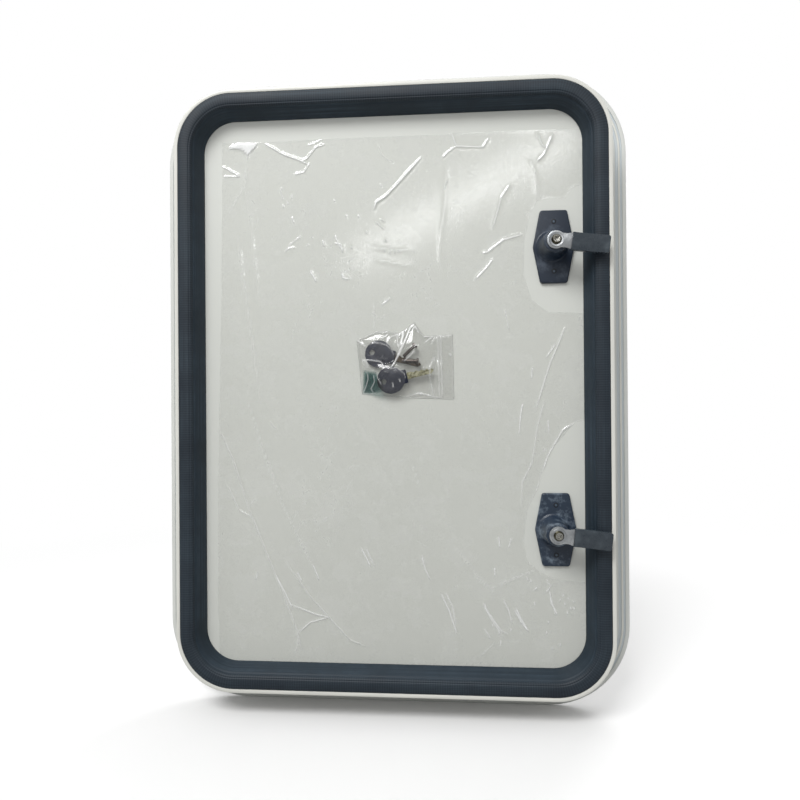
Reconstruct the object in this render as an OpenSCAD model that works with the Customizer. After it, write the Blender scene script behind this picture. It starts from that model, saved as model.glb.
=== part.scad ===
// Camper hatch door in its outer frame, in millimetres.
// The door is drawn lying flat, interior side up: x to the right, y to the top, z inwards.
// stand() then sets it upright: +Z up, -Y towards the interior, the flange back on Y = 0.

/* [Opening] */
// centre of the door to the centre of a corner arc, across
corner_x = 161.5; // [150:0.5:240]
// centre of the door to the centre of a corner arc, up and down
corner_y = 248.5; // [235:0.5:400]
// outside corner radius of the rim
rim_r = 59; // [56:0.5:66]

/* [Frame] */
// depth of the frame from the flange back to the rim
frame_depth = 48; // [44:0.5:54]
// width of the flange beyond the leg
flange_w = 26.5; // [24:0.5:32]
// thickness of the flange
flange_t = 3.5; // [3:0.1:4.5]
// thickness of the leg
leg_t = 2; // [1.5:0.1:2.4]
// width of the inner sealant groove in the flange back
groove_in_w = 3; // [1.5:0.1:4]
// width of the outer sealant groove
groove_out_w = 2.2; // [1.5:0.1:3]
// ridge between the grooves
groove_ridge = 2; // [1:0.1:3]
// land outside the grooves
groove_edge = 4; // [2:0.1:5]
// depth of a sealant groove
groove_d = 1.4; // [0.8:0.1:1.8]

/* [Leaf] */
// depth of the leaf's inner face below the rim
leaf_recess = 18.5; // [17.5:0.1:19.5]
// gap between the leaf's edge and the leg
leaf_gap = 5; // [5:0.1:6]
// thickness of each skin
skin_t = 1; // [0.6:0.1:1.2]

/* [Locks] */
// distance of the lock axes right of the centre
lock_x = 163.4; // [155:0.1:165]
// distance of the lock axes above and below the centre
lock_y = 142.4; // [90:0.1:180]
// tilt of the closed levers below the level
lever_tilt = 6.6; // [0:0.2:8]
// height of a lock plate
plate_h = 73.4; // [70:0.5:90]
// width of a lock plate across its middle
plate_mid_w = 41.2; // [38:0.5:42]
// width of a lock plate at its ends
plate_end_w = 26.8; // [24:0.2:32]
// length of a lever from its axis to the tip of its sleeve
lever_reach = 51.6; // [46:0.2:54]

/* [Hinge] */
// length of the hinge
hinge_len = 460; // [300:5:465]
// number of knuckles
knuckles = 9; // [5:2:13]
// radius of the hinge pin
pin_r = 2; // [1.5:0.1:2.5]

/* [Hidden] */
$fn = 96;
groove_total = groove_in_w + groove_ridge + groove_out_w + groove_edge;
land_r = rim_r + (flange_w - groove_total) / 2;
centre_z = corner_y + land_r;
leg_r = rim_r - leg_t;
leaf_r = leg_r - leaf_gap;
panel_z = frame_depth - leaf_recess;
leaf_back_z = -flange_t;
seal_out_r = rim_r - 4.25;
seal_in_r = rim_r - 25.5;
film_t = 0.2;
tube_r = 12;
plug_r = 8;
run_gap = 0.05;
plate_t = 3.5;
plate_top_z = panel_z + plate_t;
boss_foot_r = 15.4;
boss_top_r = 11;
plate_shift = 2.4;
dimple_y = 25;
lever_t = 2.5;
sleeve_wall = 1.2;
sleeve_start = 15.2;
sleeve_half_w = 8.6;
strap_half_w = 7.3;
strap_end = lever_reach - sleeve_wall - 0.4;
crank_drop = 1.5;
crank_in = 13;
crank_out = 21;
lever_top_z = frame_depth + 7.6;
lever_z = lever_top_z + crank_drop;
boss_top_z = lever_z - 0.5;
grip_z = leaf_back_z + 1.2 - 3 - 5.2;
bag_h = 9.4;
key_r = 14;
hinge_x = -(corner_x + leg_r - 2.5);
hinge_z = -flange_t - 6;
knuckle_r = 4.5;
knuckle_pitch = hinge_len / knuckles;
hinge_plate_t = 1.8;

module stand() {
  translate([0, 0, centre_z])
    rotate([90, 0, 0])
      children();
}

// Rounded rectangle whose corner arcs have radius r about the common corner centres.
module outline(r) {
  square([2 * corner_x, 2 * (corner_y + r)], center = true);
  square([2 * (corner_x + r), 2 * corner_y], center = true);
  for (sx = [-1, 1], sy = [-1, 1])
    translate([sx * corner_x, sy * corner_y])
      circle(r);
}

// Plate with that outline from depth z0 to z1.
module slab(r, z0, z1) {
  translate([0, 0, z0])
    linear_extrude(height = z1 - z0)
      outline(r);
}

// A profile of (radius from the corner centre, depth) carried round the whole door.
module carried_round() {
  for (s = [0, 1])
    rotate([0, 0, 180 * s]) {
      translate([corner_x, 0, 0])
        rotate([90, 0, 0])
          linear_extrude(height = 2 * corner_y, center = true)
            children();
      translate([0, corner_y, 0])
        rotate([90, 0, 90])
          linear_extrude(height = 2 * corner_x, center = true)
            children();
      translate([corner_x, corner_y, 0])
        rotate_extrude(angle = 90)
          children();
      translate([-corner_x, corner_y, 0])
        rotate([0, 0, 90])
          rotate_extrude(angle = 90)
            children();
    }
}

// Places children on the upper (s = 1) or lower (s = -1) lock axis.
module at_lock(s) {
  translate([lock_x, s * lock_y, 0])
    children();
}

module frame_extrusion() {
  flange_r = rim_r + flange_w;
  color([0.91, 0.91, 0.88])
    stand()
      carried_round()
        difference() {
          polygon([
            [leg_r, -flange_t],
            [flange_r - 1, -flange_t],
            [flange_r, -flange_t + 1],
            [flange_r, 0],
            [rim_r, 0],
            [rim_r, frame_depth],
            [seal_out_r + 0.4, frame_depth],
            [seal_out_r + 0.4, frame_depth - 2.6],
            [leg_r - 12.3, frame_depth - 11.7],
            [leg_r - 11.2, frame_depth - 12.9],
            [leg_r, frame_depth - 3.4]
          ]);
          translate([flange_r - groove_edge - groove_out_w, -groove_d])
            square([groove_out_w, groove_d + 1]);
          translate([flange_r - groove_total, -groove_d])
            square([groove_in_w, groove_d + 1]);
        }
}

module seal() {
  color([0.19, 0.21, 0.24])
    stand()
      carried_round()
        polygon([
          [seal_out_r + 0.3, frame_depth - 2.4],
          [seal_out_r + 0.3, frame_depth - 0.2],
          [seal_out_r - 0.6, frame_depth + 0.5],
          [seal_out_r - 3.5, frame_depth + 1.1],
          [seal_out_r - 7.5, frame_depth + 1.3],
          [seal_out_r - 10.6, frame_depth + 0.9],
          [seal_out_r - 11.4, frame_depth + 0.1],
          [seal_out_r - 12.2, frame_depth + 0.3],
          [seal_out_r - 13.4, frame_depth - 0.9],
          [seal_out_r - 14.3, frame_depth - 3.4],
          [seal_out_r - 15.3, frame_depth - 3.9],
          [seal_out_r - 16.8, frame_depth - 7.2],
          [seal_out_r - 18.9, frame_depth - 11.6],
          [seal_out_r - 20.5, frame_depth - 15.6],
          [seal_in_r, frame_depth - 18.2],
          [seal_in_r + 2.2, frame_depth - 18.2],
          [seal_in_r + 5, frame_depth - 17.4],
          [seal_in_r + 9, frame_depth - 14.6],
          [leg_r - 12.6, frame_depth - 11.7]
        ]);
}

// One knuckle in two of the hinge, with its share of plate along a side: side -1 frame, 1 leaf.
module hinge_half(side) {
  first = side < 0 ? 0 : 1;
  difference() {
    union() {
      translate([side < 0 ? hinge_x - 20 : hinge_x + 2.7, -hinge_len / 2, -flange_t - hinge_plate_t])
        cube([17.3, hinge_len, hinge_plate_t]);
      for (k = [first : 2 : knuckles - 1])
        translate([hinge_x, -hinge_len / 2 + k * knuckle_pitch + 0.3, hinge_z]) {
          rotate([-90, 0, 0])
            cylinder(r = knuckle_r, h = knuckle_pitch - 0.6);
          translate([side < 0 ? -knuckle_r : 2.7, 0, 0])
            cube([1.8, knuckle_pitch - 0.6, 6 - hinge_plate_t]);
        }
    }
    translate([hinge_x, -hinge_len / 2 - 1, hinge_z])
      rotate([-90, 0, 0])
        cylinder(r = pin_r + run_gap, h = hinge_len + 2);
  }
}

module hinge_frame_half() {
  color([0.88, 0.88, 0.86])
    stand()
      hinge_half(-1);
}

module hinge_leaf_half() {
  color([0.88, 0.88, 0.86])
    stand()
      hinge_half(1);
}

module hinge_pin() {
  color([0.75, 0.76, 0.77])
    stand()
      translate([hinge_x, -hinge_len / 2, hinge_z])
        rotate([-90, 0, 0])
          cylinder(r = pin_r, h = hinge_len);
}

// A row of rivet heads on a hinge plate.
module rivet_row(x) {
  count = 8;
  for (k = [0 : count - 1])
    translate([x, (k - (count - 1) / 2) * (hinge_len - 40) / (count - 1), -flange_t - hinge_plate_t - 1.2])
      cylinder(r1 = 2, r2 = 3.2, h = 1.2);
}

module hinge_frame_rivets() {
  color([0.8, 0.8, 0.8])
    stand()
      rivet_row(hinge_x - 13);
}

module hinge_leaf_rivets() {
  color([0.8, 0.8, 0.8])
    stand()
      rivet_row(hinge_x + 13);
}

module leaf_edge_frame() {
  flange_in = leaf_r - 14;
  color([0.9, 0.9, 0.88])
    stand()
      carried_round()
        polygon([
          [leaf_r, leaf_back_z],
          [leaf_r, panel_z - skin_t],
          [flange_in, panel_z - skin_t],
          [flange_in, panel_z - skin_t - 1.2],
          [leaf_r - 1.5, panel_z - skin_t - 1.2],
          [leaf_r - 1.5, leaf_back_z + 1.2],
          [flange_in, leaf_back_z + 1.2],
          [flange_in, leaf_back_z]
        ]);
}

// Bores through the leaf for both lock tubes.
module lock_bores(z0, z1) {
  for (s = [-1, 1])
    at_lock(s)
      translate([0, 0, z0 - 1])
        cylinder(r = tube_r + 0.2, h = z1 - z0 + 2);
}

module leaf_layer(r, z0, z1) {
  difference() {
    slab(r, z0, z1);
    lock_bores(z0, z1);
  }
}

module leaf_outer_skin() {
  color([0.93, 0.93, 0.92])
    stand()
      leaf_layer(leaf_r - 1.5, leaf_back_z + 1.2, leaf_back_z + 1.2 + skin_t);
}

module leaf_core() {
  color([0.9, 0.88, 0.78])
    stand()
      leaf_layer(leaf_r - 1.5, leaf_back_z + 1.2 + skin_t, panel_z - skin_t - 1.2);
}

module leaf_inner_skin() {
  color([0.82, 0.83, 0.8])
    stand()
      leaf_layer(leaf_r, panel_z - skin_t, panel_z);
}

// Six-sided outline of a lock plate with rounded corners.
module plate_outline() {
  half_h = plate_h / 2;
  end_w = plate_end_w / 2;
  mid_w = plate_mid_w / 2;
  polygon([
    [-end_w, half_h - 1.2], [-end_w + 1.6, half_h], [end_w - 1.6, half_h], [end_w, half_h - 1.2],
    [mid_w - 0.4, 3], [mid_w, 0], [mid_w - 0.4, -3],
    [end_w, -half_h + 1.2], [end_w - 1.6, -half_h], [-end_w + 1.6, -half_h], [-end_w, -half_h + 1.2],
    [-mid_w + 0.4, -3], [-mid_w, 0], [-mid_w + 0.4, 3]
  ]);
}

// Cut edges of the film; its right and bottom edges run under the seal.
module film_outline() {
  polygon([[-176, 260], [300, 261], [300, -300], [-181, -300], [-184, -219], [-182, -62], [-178, 96]]);
}

// Where the film is torn back round the upper lock.
module film_torn_upper() {
  polygon([[150, 190], [163, 192], [178, 191], [185, 202], [205, 208], [205, 75], [160, 77],
    [144, 90], [136, 115], [137, 150], [143, 176]]);
}

// Where the film is torn back round the lower lock.
module film_torn_lower() {
  polygon([[205, -32], [186, -34], [171, -52], [161, -64], [153, -85], [147, -105], [138, -123],
    [134, -154], [137, -174], [150, -186], [170, -193], [205, -196]]);
}

module protective_film() {
  color([0.86, 0.87, 0.85])
    stand()
      translate([0, 0, panel_z])
        linear_extrude(height = film_t)
          difference() {
            intersection() {
              outline(seal_in_r - 0.6);
              film_outline();
            }
            film_torn_upper();
            film_torn_lower();
          }
}

module lock_plate(s) {
  color([0.16, 0.19, 0.24])
    stand()
      at_lock(s)
        translate([0, 0, panel_z])
          difference() {
            union() {
              translate([plate_shift, 0, 0])
                linear_extrude(height = plate_t)
                  plate_outline();
              cylinder(r = boss_foot_r + 0.8, h = plate_t + 0.8);
              translate([0, 0, plate_t])
                cylinder(r1 = boss_foot_r, r2 = boss_top_r, h = boss_top_z - plate_top_z);
            }
            translate([0, 0, -1])
              cylinder(r = plug_r + run_gap, h = boss_top_z - panel_z + 2);
          }
}

module lock_plate_upper() {
  lock_plate(1);
}

module lock_plate_lower() {
  lock_plate(-1);
}

module plate_rivets(s) {
  color([0.22, 0.25, 0.3])
    stand()
      at_lock(s)
        for (t = [-1, 1])
          translate([plate_shift, t * dimple_y, plate_top_z])
            cylinder(r1 = 1.5, r2 = 0.9, h = 0.6);
}

module plate_rivets_upper() {
  plate_rivets(1);
}

module plate_rivets_lower() {
  plate_rivets(-1);
}

module lock_housing(s) {
  skin_z = leaf_back_z + 1.2;
  color([0.2, 0.2, 0.21])
    stand()
      at_lock(s)
        difference() {
          union() {
            translate([0, 0, skin_z - 3])
              cylinder(r1 = 21, r2 = 22, h = 3);
            translate([0, 0, skin_z])
              cylinder(r = tube_r, h = panel_z - skin_z);
          }
          translate([0, 0, skin_z - 4])
            cylinder(r = plug_r + run_gap, h = panel_z - skin_z + 5);
        }
}

module lock_housing_upper() {
  lock_housing(1);
}

module lock_housing_lower() {
  lock_housing(-1);
}

// Turning core of a lock, with a square end for the lever and a threaded hole.
module spindle(s) {
  color([0.7, 0.71, 0.72])
    stand()
      at_lock(s)
        difference() {
          union() {
            translate([0, 0, grip_z])
              cylinder(r = plug_r, h = boss_top_z - grip_z);
            rotate([0, 0, -lever_tilt])
              translate([-4, -4, boss_top_z - 1])
                cube([8, 8, lever_z + lever_t - boss_top_z + 1]);
          }
          translate([0, 0, lever_z - 12])
            cylinder(r = 2.5, h = 20);
        }
}

module spindle_upper() {
  spindle(1);
}

module spindle_lower() {
  spindle(-1);
}

// Bar grip outside, level while the lock is closed, with a bore for the key barrel.
module turn_grip(s) {
  color([0.17, 0.17, 0.18])
    stand()
      at_lock(s)
        difference() {
          translate([0, 0, grip_z - 9])
            linear_extrude(height = 9)
              union() {
                circle(13);
                square([40, 12], center = true);
                for (t = [-1, 1])
                  translate([t * 20, 0])
                    circle(6);
              }
          translate([0, 0, grip_z - 10])
            cylinder(r = 8.2, h = 9);
        }
}

module turn_grip_upper() {
  turn_grip(1);
}

module turn_grip_lower() {
  turn_grip(-1);
}

module key_barrel(s) {
  color([0.76, 0.77, 0.78])
    stand()
      at_lock(s)
        difference() {
          translate([0, 0, grip_z - 8.5])
            cylinder(r = 8, h = 7.3);
          translate([-3.5, -0.6, grip_z - 9.5])
            cube([7, 1.2, 6]);
        }
}

module key_barrel_upper() {
  key_barrel(1);
}

module key_barrel_lower() {
  key_barrel(-1);
}

// Side view of the lever strap (x outwards, y = depth), grown by g all round past its start.
module lever_side(g, start) {
  polygon([
    [start, lever_z - g], [crank_in, lever_z - g], [crank_out, lever_top_z - g],
    [strap_end + g, lever_top_z - g], [strap_end + g, lever_top_z + lever_t + g],
    [crank_out, lever_top_z + lever_t + g], [crank_in, lever_z + lever_t + g],
    [start, lever_z + lever_t + g]
  ]);
}

module turned_to_side() {
  rotate([90, 0, 0])
    linear_extrude(height = 40, center = true)
      children();
}

// Plan of the strap: a round eye, a waist and a flare where the sleeve begins.
module strap_plan() {
  circle(8.8);
  polygon([[0, -7.2], [7, -6.9], [10, -6.8], [sleeve_start - 0.8, -7.9], [sleeve_start + 0.6, -strap_half_w],
    [strap_end, -strap_half_w], [strap_end, strap_half_w], [sleeve_start + 0.6, strap_half_w],
    [sleeve_start - 0.8, 7.9], [10, 6.8], [7, 6.9], [0, 7.2]]);
}

// Plan of the sleeve, with the corners of its tip rounded.
module sleeve_plan() {
  tip_r = 3;
  translate([sleeve_start, -sleeve_half_w])
    square([lever_reach - sleeve_start - tip_r, 2 * sleeve_half_w]);
  translate([sleeve_start, tip_r - sleeve_half_w])
    square([lever_reach - sleeve_start, 2 * (sleeve_half_w - tip_r)]);
  for (t = [-1, 1])
    translate([lever_reach - tip_r, t * (sleeve_half_w - tip_r)])
      circle(tip_r);
}

module lever(s) {
  color([0.78, 0.79, 0.8])
    stand()
      at_lock(s)
        rotate([0, 0, -lever_tilt])
          difference() {
            intersection() {
              turned_to_side()
                lever_side(0, -10);
              translate([0, 0, lever_top_z - 1])
                linear_extrude(height = 40)
                  strap_plan();
            }
            translate([-4.05, -4.05, lever_z - 1])
              cube([8.1, 8.1, lever_t + 2]);
          }
}

module lever_upper() {
  lever(1);
}

module lever_lower() {
  lever(-1);
}

module lever_sleeve(s) {
  color([0.22, 0.23, 0.24])
    stand()
      at_lock(s)
        rotate([0, 0, -lever_tilt])
          difference() {
            intersection() {
              turned_to_side()
                lever_side(sleeve_wall, 10);
              translate([0, 0, lever_top_z - 3])
                linear_extrude(height = 40)
                  sleeve_plan();
            }
            intersection() {
              turned_to_side()
                lever_side(run_gap, 8);
              translate([0, 0, lever_top_z - 1])
                linear_extrude(height = 40)
                  translate([9, -strap_half_w - run_gap])
                    square([strap_end + run_gap - 9, 2 * (strap_half_w + run_gap)]);
            }
          }
}

module lever_sleeve_upper() {
  lever_sleeve(1);
}

module lever_sleeve_lower() {
  lever_sleeve(-1);
}

module lever_washer(s) {
  color([0.7, 0.7, 0.68])
    stand()
      at_lock(s)
        translate([0, 0, lever_z + lever_t])
          difference() {
            cylinder(r = 7, h = 1);
            translate([0, 0, -1])
              cylinder(r = 2.6, h = 3);
          }
}

module lever_washer_upper() {
  lever_washer(1);
}

module lever_washer_lower() {
  lever_washer(-1);
}

module lever_screw(s) {
  head_z = lever_z + lever_t + 1;
  color([0.74, 0.73, 0.68])
    stand()
      at_lock(s)
        difference() {
          union() {
            translate([0, 0, head_z])
              cylinder(r1 = 5, r2 = 3.6, h = 2.4);
            translate([0, 0, lever_z - 10])
              cylinder(r = 2.4, h = head_z - lever_z + 10);
          }
          for (a = [0, 90])
            rotate([0, 0, 40 + a])
              translate([-2.6, -0.6, head_z + 1])
                cube([5.2, 1.2, 3]);
        }
}

module lever_screw_upper() {
  lever_screw(1);
}

module lever_screw_lower() {
  lever_screw(-1);
}

// Corners of the bag on the panel, drawn in by g.
module bag_outline(g) {
  polygon([[-35 + g, 51 - g], [-15.3, 60.2 - g], [-2.9, 60.6 - g], [21.6, 54 - g], [64.2 - g, 56 - g],
    [65.3 - g, -10.7 + g], [15, -9 + g], [-30 + g, -5 + g]]);
}

module key_bag() {
  bag_z = panel_z + film_t;
  color([0.85, 0.87, 0.86])
    stand()
      difference() {
        translate([0, 0, bag_z])
          linear_extrude(height = bag_h)
            bag_outline(0);
        translate([0, 0, bag_z + 0.3])
          linear_extrude(height = bag_h - 0.6)
            bag_outline(0.6);
      }
}

module key_head(x, y, z, a) {
  color([0.1, 0.11, 0.14])
    stand()
      translate([x, y, z])
        rotate([0, 0, a])
          difference() {
            linear_extrude(height = 3)
              union() {
                circle(key_r);
                translate([0, -7])
                  square([key_r + 3, 14]);
              }
            translate([-7, 0, -1])
              cylinder(r = 2.6, h = 5);
          }
}

module key_blade(x, y, z, a) {
  color([0.8, 0.72, 0.45])
    stand()
      translate([x, y, z])
        rotate([0, 0, a])
          linear_extrude(height = 1.8)
            polygon([[key_r + 3.2, -3.4], [42, -3.4], [45, -0.6], [43, 1.4], [40, 0.6], [38, 2.4], [35.6, 1],
              [33, 3], [30, 1.4], [27.6, 3.2], [24.4, 2], [22, 3.4], [key_r + 3.2, 3.4]]);
}

module key_a_head() {
  key_head(-12, 36.5, panel_z + film_t + 0.5, -14);
}

module key_a_blade() {
  key_blade(-12, 36.5, panel_z + film_t + 0.7, -14);
}

module key_b_head() {
  key_head(0.6, 9.6, panel_z + film_t + 4, 13.5);
}

module key_b_blade() {
  key_blade(0.6, 9.6, panel_z + film_t + 4.5, 13.5);
}

module spare_screw(x, y, z, a) {
  color([0.35, 0.33, 0.31])
    stand()
      translate([x, y, z])
        rotate([0, 0, a])
          rotate([0, 90, 0]) {
            cylinder(r = 1.7, h = 15);
            translate([0, 0, 15])
              cylinder(r = 3, h = 2);
          }
}

module spare_screw_a() {
  spare_screw(13.8, 33.4, panel_z + film_t + 5.8, 44);
}

module spare_screw_b() {
  spare_screw(12.2, 29.4, panel_z + film_t + 5.8, -3);
}

frame_extrusion();
seal();
hinge_frame_half();
hinge_pin();
hinge_frame_rivets();
leaf_edge_frame();
leaf_outer_skin();
leaf_core();
leaf_inner_skin();
protective_film();
hinge_leaf_half();
hinge_leaf_rivets();
lock_plate_upper();
lock_plate_lower();
plate_rivets_upper();
plate_rivets_lower();
lock_housing_upper();
lock_housing_lower();
key_bag();
key_a_head();
key_a_blade();
key_b_head();
key_b_blade();
spare_screw_a();
spare_screw_b();
spindle_upper();
turn_grip_upper();
key_barrel_upper();
lever_upper();
lever_sleeve_upper();
lever_washer_upper();
lever_screw_upper();
spindle_lower();
turn_grip_lower();
key_barrel_lower();
lever_lower();
lever_sleeve_lower();
lever_washer_lower();
lever_screw_lower();
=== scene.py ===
import math

import bmesh
import bpy
import numpy as np
from bpy.props import FloatProperty, FloatVectorProperty, IntProperty, PointerProperty
from mathutils import Matrix, Vector, noise


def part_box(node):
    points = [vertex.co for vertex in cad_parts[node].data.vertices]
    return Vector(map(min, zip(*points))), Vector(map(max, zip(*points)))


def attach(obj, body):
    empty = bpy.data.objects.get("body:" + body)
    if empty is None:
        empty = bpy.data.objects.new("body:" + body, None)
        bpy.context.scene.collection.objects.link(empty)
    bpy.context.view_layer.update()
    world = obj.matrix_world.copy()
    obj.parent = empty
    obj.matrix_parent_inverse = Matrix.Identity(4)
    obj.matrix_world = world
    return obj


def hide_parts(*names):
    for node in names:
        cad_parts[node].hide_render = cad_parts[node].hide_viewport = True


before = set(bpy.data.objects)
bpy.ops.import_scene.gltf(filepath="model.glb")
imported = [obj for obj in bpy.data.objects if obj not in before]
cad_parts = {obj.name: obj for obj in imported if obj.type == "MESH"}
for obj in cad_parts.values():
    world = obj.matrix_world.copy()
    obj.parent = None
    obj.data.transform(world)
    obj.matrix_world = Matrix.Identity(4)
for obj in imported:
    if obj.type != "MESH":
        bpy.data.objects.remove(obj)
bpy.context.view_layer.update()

bl_info = {
    "name": "Camper Hatch Door",
    "version": (1, 0, 0),
    "blender": (4, 5, 0),
    "location": "3D View > Sidebar > Hatch Door",
    "description": "Finishes a camper hatch door with its seal, locks, film and key bag",
    "category": "Object",
}


MM = 0.001
# faces broader than this, in square metres, are shaded flat
FLAT_FACE = 0.005
WHITE = (1, 1, 1, 1)

# The door is worked out lying flat, as its drawing is: x right, y up, d = depth inwards from the flange's back.
FRAME_LOW, FRAME_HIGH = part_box("frame_extrusion")
CENTRE_Z = (FRAME_LOW.z + FRAME_HIGH.z) / 2 / MM
DEPTH = -FRAME_LOW.y / MM
FLANGE_T = FRAME_HIGH.y / MM
PANEL = -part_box("leaf_inner_skin")[0].y / MM
CORNER_X = 161.5
CORNER_Y = 248.5
RIM_R = 59.0
FLANGE_R = FRAME_HIGH.x / MM - CORNER_X
SEAL_OUT = RIM_R - 4.25
SEAL_IN = RIM_R - 25.5
MEAN_R = 45.0
LEG_R = RIM_R - 2.0
LOCK_X = 163.4
LOCK_Y = 142.4
PLATE_SHIFT = 2.4
PLATE_T = 3.5
PLATE_TOP = PANEL + PLATE_T
DIMPLE_Y = 25.0
EYE_TOP = -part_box("lever_upper")[0].y / MM
BOSS_TOP = -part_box("lock_plate_upper")[0].y / MM


def linear_rgb(hex_colour):
    """sRGB hex to the linear values that the shaders take."""
    parts = [int(hex_colour[i : i + 2], 16) / 255 for i in (0, 2, 4)]
    return tuple(c / 12.92 if c <= 0.04045 else ((c + 0.055) / 1.055) ** 2.4 for c in parts)


# Lays a shape that was made flat on the drawing board upright in the row frame.
UPRIGHT = Matrix.Translation((0, 0, CENTRE_Z * MM))
UPRIGHT = UPRIGHT @ Matrix.Rotation(math.radians(90), 4, "X") @ Matrix.Scale(MM, 4)


def at_lock(side):
    """Place of a lock axis on the drawing board: side 1 is the upper lock, -1 the lower."""
    return Matrix.Translation((LOCK_X, side * LOCK_Y, 0))


def lock_name(side):
    return "upper" if side > 0 else "lower"


# ---- mesh helpers


def put(bm, name, material, body, *nodes, sharp=35.0, recalc=True):
    """Makes the finished piece from a bmesh, rides it on its body and lets it stand for its CAD nodes."""
    if recalc:
        bmesh.ops.recalc_face_normals(bm, faces=bm.faces)
    mesh = bpy.data.meshes.new(name)
    bm.to_mesh(mesh)
    bm.free()
    # a CAD copy's stored normals no longer fit the rounded mesh
    stored = mesh.attributes.get("custom_normal")
    if stored:
        mesh.attributes.remove(stored)
    # broad flat faces keep their own normal, so that a sheet shows no fan of triangles
    for polygon in mesh.polygons:
        polygon.use_smooth = polygon.area < FLAT_FACE
    mesh.set_sharp_from_angle(angle=math.radians(sharp))
    mesh.materials.append(material)
    piece = bpy.data.objects.new(name, mesh)
    bpy.context.scene.collection.objects.link(piece)
    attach(piece, body)
    if nodes:
        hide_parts(*nodes)
    return piece


def bevel(bm, edges, width, segments):
    bmesh.ops.bevel(
        bm, geom=edges, offset=width, offset_type="OFFSET", segments=segments, profile=0.5, affect="EDGES",
        clamp_overlap=True, material=-1,
    )


def round_edges(bm, width, segments=2, angle=30.0):
    """Bevels each edge whose faces meet at more than the angle, in the units of the bmesh."""
    bm.normal_update()
    sharp = [e for e in bm.edges if len(e.link_faces) == 2 and e.calc_face_angle(0) > math.radians(angle)]
    if sharp:
        bevel(bm, sharp, width, segments)


def from_node(node, width, segments=2, angle=30.0):
    """A merged copy of a CAD node's mesh, its edges rounded by a width in millimetres, or left crisp at 0."""
    bm = bmesh.new()
    bm.from_mesh(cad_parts[node].data)
    bmesh.ops.scale(bm, vec=(1000, 1000, 1000), verts=bm.verts)
    bmesh.ops.remove_doubles(bm, verts=bm.verts, dist=0.004)
    if width:
        bmesh.ops.dissolve_limit(bm, angle_limit=math.radians(1.2), verts=bm.verts, edges=bm.edges)
        round_edges(bm, width, segments, angle)
    bmesh.ops.scale(bm, vec=(MM, MM, MM), verts=bm.verts)
    return bm


def dress(node, name, material, body, width, segments=2, angle=30.0):
    """Finishes a CAD node in its own shape, with its edges rounded by a width in millimetres."""
    return put(from_node(node, width, segments, angle), name, material, body, node)


def absorb(bm, other):
    """Adds another bmesh to the first and frees it."""
    mesh = bpy.data.meshes.new("part")
    other.to_mesh(mesh)
    other.free()
    bm.from_mesh(mesh)
    bpy.data.meshes.remove(mesh)


def extruded(outline, height, base=0.0):
    """A plate from a flat outline (x, y) on the drawing board, from base to base + height."""
    bm = bmesh.new()
    face = bm.faces.new([bm.verts.new((x, y, base)) for x, y in outline])
    grown = bmesh.ops.extrude_face_region(bm, geom=[face])
    top = [v for v in grown["geom"] if isinstance(v, bmesh.types.BMVert)]
    bmesh.ops.translate(bm, vec=(0, 0, height), verts=top)
    bmesh.ops.recalc_face_normals(bm, faces=bm.faces)
    return bm


def turned(profile, steps=48):
    """A turned part from a profile (radius, depth) spun about the lock axis."""
    bm = bmesh.new()
    verts = [bm.verts.new((r, 0, d)) for r, d in profile]
    edges = [bm.edges.new(pair) for pair in zip(verts, verts[1:])]
    bmesh.ops.spin(
        bm, geom=verts + edges, cent=(0, 0, 0), axis=(0, 0, 1), angle=math.tau, steps=steps, use_merge=True
    )
    bmesh.ops.remove_doubles(bm, verts=bm.verts, dist=0.001)
    bmesh.ops.recalc_face_normals(bm, faces=bm.faces)
    return bm


def carried_round(profile, steps=20, runs=(8, 12)):
    """Carries a closed profile of (radius from the corner centre, depth) once round the door."""
    bm = bmesh.new()
    verts = [bm.verts.new((CORNER_X + r, -CORNER_Y, d)) for r, d in profile]
    edges = [bm.edges.new((verts[i - 1], verts[i])) for i in range(len(verts))]

    def parts(geom):
        return (
            [g for g in geom if isinstance(g, bmesh.types.BMVert)],
            [g for g in geom if isinstance(g, bmesh.types.BMEdge)],
        )

    for turn, (length, pieces) in enumerate(
        [(2 * CORNER_Y, runs[1]), (2 * CORNER_X, runs[0]), (2 * CORNER_Y, runs[1]), (2 * CORNER_X, runs[0])]
    ):
        way = Matrix.Rotation(math.radians(90 * turn), 3, "Z") @ Vector((0, 1, 0))
        for _ in range(pieces):
            grown = bmesh.ops.extrude_edge_only(bm, edges=edges)
            verts, edges = parts(grown["geom"])
            bmesh.ops.translate(bm, vec=way * (length / pieces), verts=verts)
        corner = [(1, 1), (-1, 1), (-1, -1), (1, -1)][turn]
        grown = bmesh.ops.spin(
            bm, geom=verts + edges, cent=(corner[0] * CORNER_X, corner[1] * CORNER_Y, 0),
            axis=(0, 0, 1), angle=math.radians(90), steps=steps,
        )
        verts, edges = parts(grown["geom_last"])
    bmesh.ops.remove_doubles(bm, verts=bm.verts, dist=0.01)
    bmesh.ops.recalc_face_normals(bm, faces=bm.faces)
    return bm


def way_round(x, y):
    """How far round the door a point lies, in millimetres, and its distance from the corner centre."""
    cx = max(-CORNER_X, min(CORNER_X, x))
    cy = max(-CORNER_Y, min(CORNER_Y, y))
    angle = math.atan2(y - cy, x - cx) % math.tau
    quarter = math.pi / 2 * MEAN_R
    tall, wide = 2 * CORNER_Y + quarter, 2 * CORNER_X + quarter
    side = int(angle // (math.pi / 2) + 1e-9)
    base = [0, tall, tall + wide, 2 * tall + wide][side % 4]
    run = [cy + CORNER_Y, CORNER_X - cx, CORNER_Y - cy, cx + CORNER_X][side % 4]
    return base + run + (angle - side * math.pi / 2) * MEAN_R, math.hypot(x - cx, y - cy)


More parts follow.
